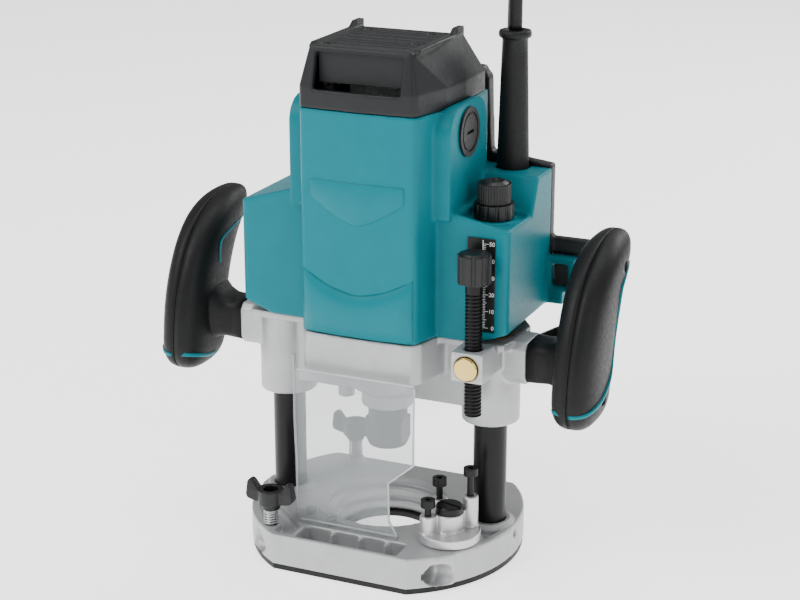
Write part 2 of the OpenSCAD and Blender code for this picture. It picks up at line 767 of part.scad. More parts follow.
// Route of the lead from the guard to the hank, chosen by hand
ROUTE = [[62, 43, 313.2], [62, 43, 330], [62, 43, 345], [60, 49, 360], [55, 62, 372], [48, 80, 376],
    [41, 99, 371], [36, 112, 358], [34, 118, 342], [33, 119, 320], [32, 120, 280], [30, 123, 240],
    [27, 126, 200], [23, 129, 160], [20, 132, 120], [18, 133, 80], [17, 134, 50], [16, 137, 27],
    [14, 144, 11], [10, 156, 5], [4, 172, 4.2], [-2, 188, 4.2], [-8, 203, 4.2], [-16, 216, 4.2],
    [-27, 225.5, 4.2], [-39, 230.3, 4.2], [-54, 231.5, 4.2]];
function unit(v) = v / norm(v);
// Point on a smooth curve through four route points
function smooth(a, b, c, d, t) = 0.5 * (2 * b + (c - a) * t + (2 * a - 5 * b + 4 * c - d) * t * t
    + (3 * b - a - 3 * c + d) * t * t * t);
last_i = len(ROUTE) - 1;
PATH = concat([for (i = [0 : last_i - 1]) for (t = [0, 0.5]) smooth(ROUTE[max(i - 1, 0)], ROUTE[i],
    ROUTE[i + 1], ROUTE[min(i + 2, last_i)], t)], [ROUTE[last_i]]);
module cord_tube() {
    n = len(PATH);
    side = 10;
    points = [for (i = [0 : n - 1]) let (
            t = unit(PATH[min(i + 1, n - 1)] - PATH[max(i - 1, 0)]),
            u = unit(cross(t, [0.94, 0.35, 0])),
            v = cross(t, u))
        for (j = [0 : side - 1]) PATH[i] + cord_d / 2 * (cos(360 * j / side) * u
            + sin(360 * j / side) * v)];
    color(black) polyhedron(points, tube_faces(n, side), convexity = 10);
}
hank = [-88, 255.5];
hank_l = 128;
hank_w = 56;
hank_h = 6 * cord_d;
module cord_hank() {
    color(black) at(hank) linear_extrude(hank_h) union() {
        square([hank_l - hank_w, hank_w], center = true);
        for (s = [-1, 1]) translate([s * (hank_l - hank_w) / 2, 0]) circle(hank_w / 2);
    }
}
module plug() {
    color(black) translate([-118, hank[1] - 17, hank_h + 18.2]) rotate([0, 90, 0]) union() {
        cylinder(h = 20, r = 18);
        translate([0, 0, 20]) cylinder(h = 16, r1 = 18, r2 = 9);
        translate([0, 0, 36]) cylinder(h = 22, r1 = 7, r2 = 5);
        for (s = [-1, 1]) translate([0, s * 9.5, -19]) cylinder(h = 19.5, r = 2.4);
    }
}

sole_plate();
base_casting();
sole_screws();
guide_column_left();
guide_column_right();
column_set_screws();
limit_rod();
limit_nut();
limit_knob();
return_spring_left();
return_spring_right();
front_clamp_knob();
front_clamp_screw();
front_clamp_spring();
rear_clamp_knob();
rear_clamp_screw();
rear_clamp_spring();
stop_turret();
stop_screws();
turret_screw();
deflector();
deflector_screws();
motor_bracket();
column_bushings();
motor_housing();
top_cover();
top_cover_screws();
rear_cover();
brush_caps();
brush_holders();
stator();
lower_bearing();
upper_bearing();
spindle_shaft();
armature_core();
commutator();
cooling_fan();
collet();
collet_nut();
stop_pole();
stop_pole_knob();
fast_feed_button();
scale_plate();
lock_lever();
switch_body();
switch_lever();
grip_left_inner();
grip_left_outer();
grip_right_inner();
grip_right_outer();
grip_screws();
cord_guard();
cord_tube();
cord_hank();
plug();
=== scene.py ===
import json
from math import cos, pi, radians, sin, sqrt

import bmesh
import bpy
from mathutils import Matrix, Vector


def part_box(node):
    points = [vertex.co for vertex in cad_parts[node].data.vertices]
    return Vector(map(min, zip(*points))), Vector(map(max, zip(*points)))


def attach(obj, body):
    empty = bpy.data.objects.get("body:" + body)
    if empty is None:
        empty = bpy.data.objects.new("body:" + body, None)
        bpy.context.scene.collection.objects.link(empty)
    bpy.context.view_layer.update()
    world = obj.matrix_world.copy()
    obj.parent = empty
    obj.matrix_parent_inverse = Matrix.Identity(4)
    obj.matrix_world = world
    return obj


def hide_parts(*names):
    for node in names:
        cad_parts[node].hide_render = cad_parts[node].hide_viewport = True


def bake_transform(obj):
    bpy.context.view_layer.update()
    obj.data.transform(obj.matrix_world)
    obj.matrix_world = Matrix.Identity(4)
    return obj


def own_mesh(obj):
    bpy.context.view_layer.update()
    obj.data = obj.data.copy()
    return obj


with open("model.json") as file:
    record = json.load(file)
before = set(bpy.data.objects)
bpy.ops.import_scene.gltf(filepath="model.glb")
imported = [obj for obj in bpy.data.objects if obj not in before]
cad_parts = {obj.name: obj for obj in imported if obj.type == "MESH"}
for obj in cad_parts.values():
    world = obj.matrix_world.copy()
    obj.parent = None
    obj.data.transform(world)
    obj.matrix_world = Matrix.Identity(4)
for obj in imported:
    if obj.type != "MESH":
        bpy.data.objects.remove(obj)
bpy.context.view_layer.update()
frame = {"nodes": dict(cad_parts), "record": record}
MM = 0.001


def mm(*values):
    """A point given in millimetres, in metres."""
    return Vector(values) * MM


# ---- camera ----
FOCAL_LENGTH = 85.5
AZIMUTH = 23.83
ELEVATION = 18.34
camera = bpy.data.objects.new("camera", bpy.data.cameras.new("camera"))
bpy.context.collection.objects.link(camera)
camera.data.lens = FOCAL_LENGTH
camera.data.sensor_width = 36.0
camera.data.clip_start = 0.01
camera.location = mm(442.13, -982.81, 510.4)
camera.rotation_euler = (radians(90 - ELEVATION), 0, radians(AZIMUTH))
bpy.context.scene.camera = camera


# ---- materials ----
def surface(name, colour, rough, metal=0.0, grain=0.25, bump=0.12, vary=0.08, edge=0.25, edge_tone=1.15,
            alpha=1.0, shine=0.28):
    """A moulded, cast or turned finish: fine grain, uneven gloss, soft edges whose colour is scaled by
    edge_tone. grain in mm.
    """
    m = bpy.data.materials.new(name)
    m.use_nodes = True
    nodes, links = m.node_tree.nodes, m.node_tree.links
    shader = nodes["Principled BSDF"]
    place = nodes.new("ShaderNodeTexCoord")

    def noise(size_mm, detail):
        n = nodes.new("ShaderNodeTexNoise")
        n.inputs["Scale"].default_value = 1 / (size_mm * MM)
        n.inputs["Detail"].default_value = detail
        links.new(place.outputs["Object"], n.inputs["Vector"])
        return n

    def spread(source, low, high):
        r = nodes.new("ShaderNodeMapRange")
        r.inputs["From Min"].default_value = 0.3
        r.inputs["From Max"].default_value = 0.7
        r.inputs["To Min"].default_value = low
        r.inputs["To Max"].default_value = high
        links.new(source, r.inputs["Value"])
        return r

    fine = noise(grain, 2.0)
    broad = noise(14.0, 4.0)
    streak = noise(2.5, 3.0)
    tone = nodes.new("ShaderNodeMix")
    tone.data_type = "RGBA"
    tone.inputs["A"].default_value = [c * (1 - vary) for c in colour] + [1]
    tone.inputs["B"].default_value = [min(1, c * (1 + vary)) for c in colour] + [1]
    links.new(spread(broad.outputs["Fac"], 0, 1).outputs["Result"], tone.inputs["Factor"])

    # Rounded edges take the colour times edge_tone, lighter where it is above 1 and darker where it is below
    # 1; the darker edges of the clear plastic are painted shade.
    soft = nodes.new("ShaderNodeBevel")
    soft.samples = 4
    soft.inputs["Radius"].default_value = edge * MM
    geometry = nodes.new("ShaderNodeNewGeometry")
    turn = nodes.new("ShaderNodeVectorMath")
    turn.operation = "DOT_PRODUCT"
    links.new(soft.outputs["Normal"], turn.inputs[0])
    links.new(geometry.outputs["Normal"], turn.inputs[1])
    edge_mask = nodes.new("ShaderNodeMapRange")
    edge_mask.inputs["From Min"].default_value = 0.98
    edge_mask.inputs["From Max"].default_value = 0.80
    links.new(turn.outputs["Value"], edge_mask.inputs["Value"])
    edge_mix = nodes.new("ShaderNodeMix")
    edge_mix.data_type = "RGBA"
    edge_mix.inputs["B"].default_value = [min(1, c * edge_tone + 0.01) for c in colour] + [1]
    links.new(edge_mask.outputs["Result"], edge_mix.inputs["Factor"])
    links.new(tone.outputs["Result"], edge_mix.inputs["A"])
    links.new(edge_mix.outputs["Result"], shader.inputs["Base Color"])

    dent = nodes.new("ShaderNodeBump")
    dent.inputs["Strength"].default_value = bump
    dent.inputs["Distance"].default_value = grain * 0.4 * MM
    links.new(fine.outputs["Fac"], dent.inputs["Height"])
    links.new(soft.outputs["Normal"], dent.inputs["Normal"])
    links.new(dent.outputs["Normal"], shader.inputs["Normal"])
    links.new(spread(streak.outputs["Fac"], rough * 0.88, min(1, rough * 1.14)).outputs["Result"],
              shader.inputs["Roughness"])
    shader.inputs["Metallic"].default_value = metal
    shader.inputs["Alpha"].default_value = alpha
    shader.inputs["Specular IOR Level"].default_value = shine
    return m


TEAL = (0.0, 0.155, 0.19)
BLACK = (0.0045, 0.0048, 0.005)
MATERIALS = {
    "sole": surface("sole", BLACK, 0.5, grain=0.5),
    "casting": surface("casting", (0.42, 0.425, 0.43), 0.45, metal=0.5, grain=0.9, bump=0.5,
                       vary=0.05, edge=0.6, edge_tone=1.2, shine=0.4),
    "steel": surface("steel", (0.45, 0.45, 0.46), 0.3, metal=1.0, grain=0.3, bump=0.1),
    "column": surface("column", (0.003, 0.003, 0.0032), 0.34, grain=0.3, edge_tone=2, shine=0.2),
    "black_steel": surface("black_steel", (0.006, 0.006, 0.0065), 0.4, metal=0.2, grain=0.25, edge_tone=2.5),
    "black_plastic": surface("black_plastic", BLACK, 0.42, grain=0.35, edge_tone=2.2, shine=0.35),
    "turret": surface("turret", (0.55, 0.55, 0.56), 0.34, metal=0.75, grain=0.5, bump=0.2, edge=0.4),
    # Clear plastic: edge_tone 0.6 darkens its rounded edges, painted shade for the dark lines along the
    # edges of clear acrylic.
    "clear_plastic": surface("clear_plastic", (0.40, 0.43, 0.44), 0.10, grain=3.0, bump=0.03,
                             vary=0.02, edge=0.3, edge_tone=0.6, alpha=0.3, shine=0.5),
    # Pale, half-opaque finish for the tubes along the deflector's edges: a painted highlight where the clear
    # edges catch the light.
    "clear_edge_highlight": surface("clear_edge_highlight", (0.66, 0.70, 0.70), 0.2, grain=1.0, bump=0.03, alpha=0.7),
    "bronze": surface("bronze", (0.42, 0.27, 0.12), 0.4, metal=0.9, grain=0.3, bump=0.2),
    "teal_plastic": surface("teal_plastic", TEAL, 0.4, grain=0.35, bump=0.10, vary=0.03, edge=0.9,
                            edge_tone=1.3, shine=0.12),
    "dark_plastic": surface("dark_plastic", (0.010, 0.011, 0.012), 0.46, grain=0.5, bump=0.2,
                            edge=0.6, edge_tone=1.9),
    "lamination": surface("lamination", (0.2, 0.19, 0.18), 0.45, metal=0.8, grain=0.5, bump=0.3),
    "copper": surface("copper", (0.62, 0.28, 0.14), 0.3, metal=1.0),
    "brass": surface("brass", (0.60, 0.45, 0.15), 0.24, metal=1.0, grain=0.2, edge=0.4),
    "scale": surface("scale", BLACK, 0.4, grain=0.3),
    "grip": surface("grip", (0.0045, 0.0047, 0.005), 0.5, grain=0.55, bump=0.32, edge=0.8, edge_tone=1.9,
                    shine=0.22),
    "rubber": surface("rubber", BLACK, 0.55, grain=0.4, bump=0.25),
    "cord": surface("cord", BLACK, 0.5, grain=0.6, bump=0.25),
    "print": surface("print", (0.75, 0.76, 0.76), 0.5, grain=0.3),
}
SLOT_OF = {part["node"]: part["material_slot"] for part in frame["record"]["subparts"]}
for node, shown in frame["nodes"].items():
    shown.data.materials.clear()
    shown.data.materials.append(MATERIALS[SLOT_OF[node]])


# ---- making pieces ----
def piece(name, mesh, body, slot, replaces=(), smooth=True):
    """Adds a piece that rides on a body and takes its finish from a slot."""
    made = bpy.data.objects.new(name, mesh)
    bpy.context.collection.objects.link(made)
    mesh.materials.clear()
    mesh.materials.append(MATERIALS[slot])
    if smooth:
        mesh.polygons.foreach_set("use_smooth", [True] * len(mesh.polygons))
    if body:
        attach(made, body)
    if replaces:
        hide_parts(*replaces)
    return made


def mesh_of(name, points, faces):
    """A mesh from points in metres."""
    mesh = bpy.data.meshes.new(name)
    mesh.from_pydata(points, [], faces)
    mesh.update()
    return mesh


def outward(mesh):
    """Turns the faces of a closed mesh to look outwards."""
    bm = bmesh.new()
    bm.from_mesh(mesh)
    bmesh.ops.recalc_face_normals(bm, faces=bm.faces)
    bm.to_mesh(mesh)
    bm.free()
    return mesh


def applied(made):
    """Applies the modifiers of a piece to its mesh."""
    graph = bpy.context.evaluated_depsgraph_get()
    final = bpy.data.meshes.new_from_object(made.evaluated_get(graph))
    made.modifiers.clear()
    made.data = final
    return made


def add_cut(made, tool):
    """Takes the tool's shape out of a piece."""
    cut = made.modifiers.new("cut", "BOOLEAN")
    cut.operation = "DIFFERENCE"
    cut.solver = "EXACT"
    cut.object = tool


def moulded(node, body, voxel, rounds=4, keep=0.4):
    """The CAD shape of a node with its edges rounded over, as moulding or casting leaves them."""
    mesh = frame["nodes"][node].data.copy()
    made = bpy.data.objects.new(node + "_shell", mesh)
    bpy.context.collection.objects.link(made)
    remesh = made.modifiers.new("remesh", "REMESH")
    remesh.mode = "VOXEL"
    remesh.voxel_size = voxel * MM
    smooth = made.modifiers.new("smooth", "SMOOTH")
    smooth.iterations = rounds
    smooth.factor = 0.5
    thin = made.modifiers.new("thin", "DECIMATE")
    thin.ratio = keep
    applied(made)
    shell = made.data
    bpy.data.objects.remove(made)
    return piece(node + "_shell", shell, body, SLOT_OF[node], [node])


def tube_faces(rings, sides):
    """Faces of a closed tube whose points come ring by ring."""
    faces = [(i * sides + j, i * sides + (j + 1) % sides, (i + 1) * sides + (j + 1) % sides,
              (i + 1) * sides + j) for i in range(rings - 1) for j in range(sides)]
    faces.append(tuple(reversed(range(sides))))
    faces.append(tuple((rings - 1) * sides + j for j in range(sides)))
    return faces


def swept(path, radius, sides=12):
    """Points of a round tube along a path of vectors."""
    points = []
    across = None
    for i, here in enumerate(path):
        along = (path[min(i + 1, len(path) - 1)] - path[max(i - 1, 0)]).normalized()
        if across is None:
            across = along.orthogonal().normalized()
        across = (across - along * across.dot(along)).normalized()
        other = along.cross(across)
        points += [here + radius * (cos(2 * pi * j / sides) * across + sin(2 * pi * j / sides) * other)
                   for j in range(sides)]
    return points


# ---- mains lead ----
CORD_D = 8.0
ROUTE = [(62, 43, 313.2), (62, 43, 330), (62, 43, 345), (60, 49, 360), (55, 62, 372), (48, 80, 376),
         (41, 99, 371), (36, 112, 358), (34, 118, 342), (33, 119, 320), (32, 120, 280),
         (30, 123, 240), (27, 126, 200), (23, 129, 160), (20, 132, 120), (18, 133, 80), (17, 134, 50),
         (16, 137, 27), (14, 144, 11), (10, 156, 5), (4, 172, 4.2), (-2, 188, 4.2), (-8, 203, 4.2),
         (-16, 216, 4.2), (-27, 225.5, 4.2), (-39, 230.3, 4.2), (-52, 231.4, 4.2)]
HANK_CENTRE = (-88.0, 255.5)
HANK_R = 24.0
HANK_STRAIGHT = 72.0
FULL_LAPS = 4
ROUTE_GAP = 12.0


def hank_point(run):
    """A point on the wound lead, a distance run along it, clockwise from the front straight."""
    lap = 2 * HANK_STRAIGHT + 2 * pi * HANK_R
    s = run % lap
    x0 = HANK_CENTRE[0] + HANK_STRAIGHT / 2
    x1 = HANK_CENTRE[0] - HANK_STRAIGHT / 2
    z = 4.2 + CORD_D * run / lap
    arc = pi * HANK_R
    if s < HANK_STRAIGHT:
        return mm(x0 - s, HANK_CENTRE[1] - HANK_R, z)
    if s < HANK_STRAIGHT + arc:
        a = (s - HANK_STRAIGHT) / HANK_R
        return mm(x1 - HANK_R * sin(a), HANK_CENTRE[1] - HANK_R * cos(a), z)
    if s < 2 * HANK_STRAIGHT + arc:
        return mm(x1 + s - HANK_STRAIGHT - arc, HANK_CENTRE[1] + HANK_R, z)
    a = (s - 2 * HANK_STRAIGHT - arc) / HANK_R
    return mm(x0 + HANK_R * sin(a), HANK_CENTRE[1] + HANK_R * cos(a), z)


def curved(points, steps):
    """A smooth line through points."""
    ends = [points[0]] + points + [points[-1]]
    line = []
    for a, b, c, d in zip(ends, ends[1:], ends[2:], ends[3:]):
        for k in range(steps):
            t = k / steps
            line.append(0.5 * (2 * b + (c - a) * t + (2 * a - 5 * b + 4 * c - d) * t * t
                               + (3 * b - a - 3 * c + d) * t ** 3))
    return line + [points[-1]]


def evenly(line, gap):
    """The same line with points a fixed gap apart."""
    out = [line[0]]
    for a, b in zip(line, line[1:]):
        while (b - out[-1]).length >= gap:
            out.append(out[-1] + (b - out[-1]).normalized() * gap)
    return out


def make_cord():
    """The mains lead, from the guard to the plug on the hank."""
    lap = 2 * HANK_STRAIGHT + 2 * pi * HANK_R
    plug_low, plug_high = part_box("plug")
    entry = Vector((plug_high[0], (plug_low[1] + plug_high[1]) / 2, (plug_low[2] + plug_high[2]) / 2))
    wound = FULL_LAPS * lap + 2 * HANK_STRAIGHT + pi * HANK_R
    steps = int(wound / ROUTE_GAP)
    runs = [wound * k / steps for k in range(1, steps + 1)]
    points = [mm(*p) for p in ROUTE] + [hank_point(r) for r in runs]
    rise_from = points[-1]
    rise_to = Vector((rise_from.x, entry.y, entry.z))
    centre, arm = (rise_from + rise_to) / 2, (rise_from - rise_to) / 2
    points += [centre + arm * cos(pi * k / 8) + Vector((arm.length * sin(pi * k / 8), 0, 0))
               for k in range(1, 9)]
    points += [entry, entry + mm(-4, 0, 0)]
    path = evenly(curved(points, 4), 3.5 * MM)
    sides = 12
    mesh = mesh_of("lead", swept(path, CORD_D / 2 * MM, sides), tube_faces(len(path), sides))
    lead = piece("lead", mesh, None, "cord", ["cord_tube", "cord_hank"])
    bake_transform(lead)


make_cord()


# ---- castings and mouldings ----
moulded("base_casting", "base", 0.9)
moulded("motor_bracket", "motor", 0.9)
moulded("motor_housing", "motor", 0.95, rounds=6)
moulded("top_cover", "motor", 0.7)
moulded("rear_cover", "motor", 1.1, rounds=5)
moulded("stop_turret", "turret", 0.45)
moulded("front_clamp_knob", "front_clamp", 0.4, rounds=5)
moulded("rear_clamp_knob", "rear_clamp", 0.4, rounds=5)
moulded("lock_lever", "lever", 0.5, rounds=5)


BUTTON_WELL_R = 7.5
BUTTON_WELL_FRONT = -55
BUTTON_WELL_FLOOR = -40.1


def button_well():
    """The well in the bracket that the feed button sinks into."""
    low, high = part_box("fast_feed_button")
    x, z = (low[0] + high[0]) / 2 / MM, (low[2] + high[2]) / 2 / MM
    points = [mm(x + BUTTON_WELL_R * cos(2 * pi * j / 48), y, z + BUTTON_WELL_R * sin(2 * pi * j / 48))
              for y in (BUTTON_WELL_FRONT, BUTTON_WELL_FLOOR) for j in range(48)]
    tool = bpy.data.objects.new("recess", outward(mesh_of("recess", points, tube_faces(2, 48))))
    bpy.context.collection.objects.link(tool)
    bracket = bpy.data.objects["motor_bracket_shell"]
    add_cut(bracket, tool)
    applied(bracket)
    bpy.data.objects.remove(tool)


button_well()


# ---- threads and springs ----
def threaded(name, node, body, centre, radius, low, high, pitch, depth, plain=()):
    """A rod with a helical thread between two heights; plain gives a stretch without it."""
    sides = 24
    step = pitch / 6
    rings = int((high - low) / step) + 1
    points = []
    for i in range(rings):
        z = low + (high - low) * i / (rings - 1)
        for j in range(sides):
            phase = (z / pitch - j / sides) % 1
            cut = depth * (1 - abs(2 * phase - 1) * 1.6) if abs(2 * phase - 1) < 0.62 else 0
            if plain and plain[0] <= z <= plain[1]:
                cut = 0
            r = radius - max(0, cut)
            if i in (0, rings - 1):
                r = radius - depth
            a = 2 * pi * j / sides
            points.append(mm(centre[0] + r * cos(a), centre[1] + r * sin(a), z))
    mesh = mesh_of(name, points, tube_faces(rings, sides))
    return piece(name, mesh, body, SLOT_OF[node], [node], smooth=False)


POLE = (68.9, -34.3)
COLUMN_X = 67.0
threaded("stop_pole_thread", "stop_pole", "stop_pole", POLE, 5.1, 103, 183.3, 2.2, 0.8,
         plain=(177, 184))
threaded("limit_rod_thread", "limit_rod", "base", (COLUMN_X, 0), 3.5, 9, 231, 1.25, 0.5)


def helix(name, node, body, centre, radius, wire, turns, low, high):
    """A round wire spring with closed ends."""
    steps = int(turns * 24)
    path = []
    for i in range(steps + 1):
        t = i / steps
        ease = min(1, max(0, (t * turns - 0.8) / (turns - 1.6)))
        a = 2 * pi * turns * t
        z = low + wire / 2 + wire * min(0.8, t * turns) + (high - low - 2.6 * wire) * ease
        z += wire * max(0, t * turns - (turns - 0.8)) * 0.8
        path.append(mm(centre[0] + radius * cos(a), centre[1] + radius * sin(a), z))
    mesh = mesh_of(name, swept(path, wire / 2 * MM, 8), tube_faces(len(path), 8))
    return piece(name, mesh, body, SLOT_OF[node], [node])


helix("front_clamp_coil", "front_clamp_spring", "base", (-50, -60), 4, 1.1, 6, 23.4, 33.3)
helix("rear_clamp_coil", "rear_clamp_spring", "base", (-45, 49), 4, 1.1, 6, 26.2, 37.8)
SPRING_FOOT = 9.2
SPRING_TOP = 205.0
for side, word in ((-1, "left"), (1, "right")):
    coil = helix(f"return_coil_{word}", f"return_spring_{word}", "base", (side * COLUMN_X, 0), 5.8, 1.6,
                 16, SPRING_FOOT, SPRING_TOP)
    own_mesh(coil)


# ---- grips ----
GRIP_X = 126.5
HALF_THICK = 14.2


def grip_front(z):
    """Where the front edge of the grip lies at a height."""
    t = (z - 150) / 50
    return -32.3 + 16.9 * t + 15.3 * t * t + 4.3 * t ** 3


def grip_section(z):
    """Centre and half depth of the grip at a height."""
    front = grip_front(z)
    depth = 53.0
    return front + depth / 2, depth / 2


def grip_ends(z):
    """How much the section shrinks towards the rounded ends, and how far it shifts back."""
    top = max(0.0, (z - 176) / 26.0)
    low = max(0.0, (124 - z) / 25.5)
    return max(0.0004, 1 - min(1, max(top, low)) ** 3.4) ** 0.42, 3.0 * top - 1.0 * low


def skin_x(y, z, lift=0.0):
    """How far the grip's outer skin stands out in X at a place on its side."""
    middle, half = grip_section(z)
    end, lean = grip_ends(z)
    u = min(0.995, abs(y - middle - lean) / (half * end))
    return GRIP_X + 0.2 + (HALF_THICK - 0.6) * end * (1 - u ** (8 / 3)) ** 0.375 + lift


def grip_mesh(side, outer):
    """One shell of a grip, the half outside or inside the split plane."""
    levels = [98.6 + 103.3 * (0.5 - 0.5 * cos(pi * i / 44)) for i in range(45)]
    around = 24
    points = []
    for z in levels:
        end, lean = grip_ends(z)
        middle, half = grip_section(z)
        for j in range(around + 1):
            a = pi * j / around
            c, s = cos(a), sin(a)
            y = middle + lean + half * end * (1 if c > 0 else -1) * abs(c) ** 0.75
            x = 0.2 + (HALF_THICK - 0.6) * end * abs(s) ** 0.75
            points.append(mm(side * (GRIP_X + (x if outer else -x)), y, z))
        for j in range(1, around):
            a = pi * (around - j) / around
            c = cos(a)
            y = middle + lean + half * end * (1 if c > 0 else -1) * abs(c) ** 0.75
            points.append(mm(side * (GRIP_X + (0.2 if outer else -0.2)), y, z))
    ring = 2 * around
    return outward(mesh_of("grip", points, tube_faces(len(levels), ring)))


def rounded_ring(x, half_y, half_z, middle_z, corner, sides=32):
    """A ring of places at x with rounded corners, around the stalk of a grip."""
    ring = []
    for j in range(sides):
        a = 2 * pi * j / sides
        c, s = cos(a), sin(a)
        power = 2 / corner
        y = half_y * (1 if c > 0 else -1) * abs(c) ** power
        z = middle_z + half_z * (1 if s > 0 else -1) * abs(s) ** power
        ring.append((x, y, z))
    return ring


def neck_mesh(side):
    """The stalk that joins a grip to the bracket, flaring into the grip."""
    stations = [(93.2, 13.4, 12.8, 130, 4.0), (100, 13.0, 12.5, 130, 4.0), (106, 13.2, 12.8, 130.5, 3.6),
                (111, 14.6, 15.0, 132, 3.2), (115, 17.0, 19.0, 134, 2.8), (119, 19.5, 24.0, 136, 2.5)]
    points = [mm(side * p[0], p[1] - 3 * max(0, (p[0] - 106) / 13), p[2])
              for s in stations for p in rounded_ring(*s)]
    return mesh_of("neck", points, tube_faces(len(stations), 32))


def joined(meshes, name):
    """Several meshes as one."""
    bm = bmesh.new()
    for mesh in meshes:
        bm.from_mesh(mesh)
    bmesh.ops.recalc_face_normals(bm, faces=bm.faces)
    whole = bpy.data.meshes.new(name)
    bm.to_mesh(whole)
    bm.free()
    return whole


def drilled(mesh, holes, radius, x_from, side):
    """The mesh with round recesses cut in from the outside."""
    made = bpy.data.objects.new("drill_body", mesh)
    bpy.context.collection.objects.link(made)
    tools = []
    for y, z in holes:
        points = []
        for x in (x_from, x_from + 30):
            points += [mm(side * x, y + radius * cos(2 * pi * j / 28), z + radius * sin(2 * pi * j / 28))
                       for j in range(28)]
        tool = bpy.data.objects.new("tool", outward(mesh_of("tool", points, tube_faces(2, 28))))
        bpy.context.collection.objects.link(tool)
        add_cut(made, tool)
        tools.append(tool)
    applied(made)
    final = made.data
    for o in [made] + tools:
        bpy.data.objects.remove(o)
    return final


def ribbon(name, side, line, width, lift, slot, inner=False):
    """A raised strip that follows a side face of the grip along a line of (y, z) places."""
    path = curved([Vector((0, y, z)) for y, z in line], 8)
    points = []
    for i, here in enumerate(path):
        along = (path[min(i + 1, len(path) - 1)] - path[max(i - 1, 0)]).normalized()
        across = Vector((0, -along.z, along.y))
        for offset, raised in ((-0.5, -1.5), (-0.42, 1), (0.42, 1), (0.5, -1.5)):
            p = here + across * width * offset
            x = skin_x(p.y, p.z, lift * raised)
            points.append(mm(side * (2 * GRIP_X - x if inner else x), p.y, p.z))
    mesh = mesh_of(name, points, tube_faces(len(path), 4))
    return piece(name, mesh, "motor", slot)


GRIP_HOLES = [(23, 185), (-11, 115)]
ACCENT = [(36, 184), (25, 179.5), (15.5, 173.5), (12.8, 158), (10, 140), (2, 127), (-12, 118.5),
          (-26, 114.5), (-38, 112)]
INNER_ACCENT = [(34, 185), (17, 181.5), (3, 177.5), (-1, 172), (-1.8, 163)]
INNER_LOW = [(-8, 106), (-18, 107.5), (-28, 110.5), (-37, 113)]
for side, word in ((1, "right"), (-1, "left")):
    shell = drilled(grip_mesh(side, True), GRIP_HOLES, 3.6, GRIP_X + 6, side)
    outer = piece(f"grip_{word}_outer_shell", shell, "motor", "grip", [f"grip_{word}_outer"])
    inner_mesh = joined([grip_mesh(side, False), neck_mesh(side)], "grip_inner")
    piece(f"grip_{word}_inner_shell", inner_mesh, "motor", "grip", [f"grip_{word}_inner"])
    ribbon(f"grip_{word}_accent", side, ACCENT, 2.4, 1.0, "teal_plastic")
    ribbon(f"grip_{word}_inner_accent", side, INNER_ACCENT, 2.0, 0.4, "teal_plastic", True)
    ribbon(f"grip_{word}_low_accent", side, INNER_LOW, 2.6, 0.4, "teal_plastic", True)
    for k in range(3):
        rib = [(y + 5.5 + 3.2 * k, z - 2.6 - 1.2 * k) for y, z in ACCENT[2:6]]
        ribbon(f"grip_{word}_rib_{k + 1}", side, rib, 1.6, 0.8, "grip")


# ---- printed scale ----
SCALE_FACE = -23.8
SCALE_ZERO = 153.2


def flat_bar(name, x0, x1, z0, z1, y, body, slot, thick=0.12):
    """A thin upright rectangle that looks to the front."""
    corners = [(x0, z0), (x1, z0), (x1, z1), (x0, z1)]
    points = [mm(x, y - thick, z) for x, z in corners] + [mm(x, y, z) for x, z in corners]
    mesh = mesh_of(name, points, [(0, 1, 2, 3), (7, 6, 5, 4), (0, 4, 5, 1), (1, 5, 6, 2), (2, 6, 7, 3),
                                  (3, 7, 4, 0)])
    return piece(name, mesh, body, slot, smooth=False)


def figure(text, size, x, z, y, body, name):
    """A printed figure standing upright on a face that looks to the front."""
    curve = bpy.data.curves.new(name, "FONT")
    curve.body = text
    curve.size = size * MM
    curve.extrude = 0.05 * MM
    curve.align_x = "RIGHT"
    curve.align_y = "CENTER"
    maker = bpy.data.objects.new(name + "_maker", curve)
    bpy.context.collection.objects.link(maker)
    maker.rotation_euler = (pi / 2, 0, 0)
    maker.location = mm(x, y - 0.06, z)
    bpy.context.view_layer.update()
    graph = bpy.context.evaluated_depsgraph_get()
    mesh = bpy.data.meshes.new_from_object(maker.evaluated_get(graph))
    mesh.transform(maker.matrix_world)
    bpy.data.objects.remove(maker)
    return piece(name, mesh, body, "print", smooth=False)


flat_bar("scale_line", 69.6, 70.1, 151.8, 205.4, SCALE_FACE, "motor", "print")
for k in range(51):
    size = 3.4 if k % 10 == 0 else 2.4 if k % 5 == 0 else 1.5
    z = SCALE_ZERO + k
    flat_bar(f"scale_tick_{k}", 70.1, 70.1 + size, z - 0.12, z + 0.12, SCALE_FACE, "motor", "print")
for k in range(6):
    figure(str(10 * k), 3.4, 77.0, SCALE_ZERO + 10 * k, SCALE_FACE, "motor", f"scale_figure_{10 * k}")


# ---- raised relief on the front of the housing ----
def front_pad(name, half_width, low_edge, high_edge, lift, slope, slot, y_front=-44.3):
    """A raised area on the bowed front face between two edges given as heights over x."""
    columns = 40
    points = []
    for i in range(columns + 1):
        x = half_width * (2 * i / columns - 1)
        fade = min(1, (1 - abs(2 * i / columns - 1)) * 5 + 0.02)
        y = y_front + 1.8 * (x / 34.5) ** 2
        low, high = low_edge(x), high_edge(x)
        out = lift * sqrt(fade)
        for step, z in ((-0.6, high), (out * 0.3, high - slope * 0.3), (out * 0.8, high - slope * 0.7),
                        (out, high - slope), (out, low + 1.2), (-0.6, low)):
            points.append(mm(x, y - step, z))
    mesh = mesh_of(name, points, tube_faces(columns + 1, 6))
    return piece(name, mesh, "motor", slot)


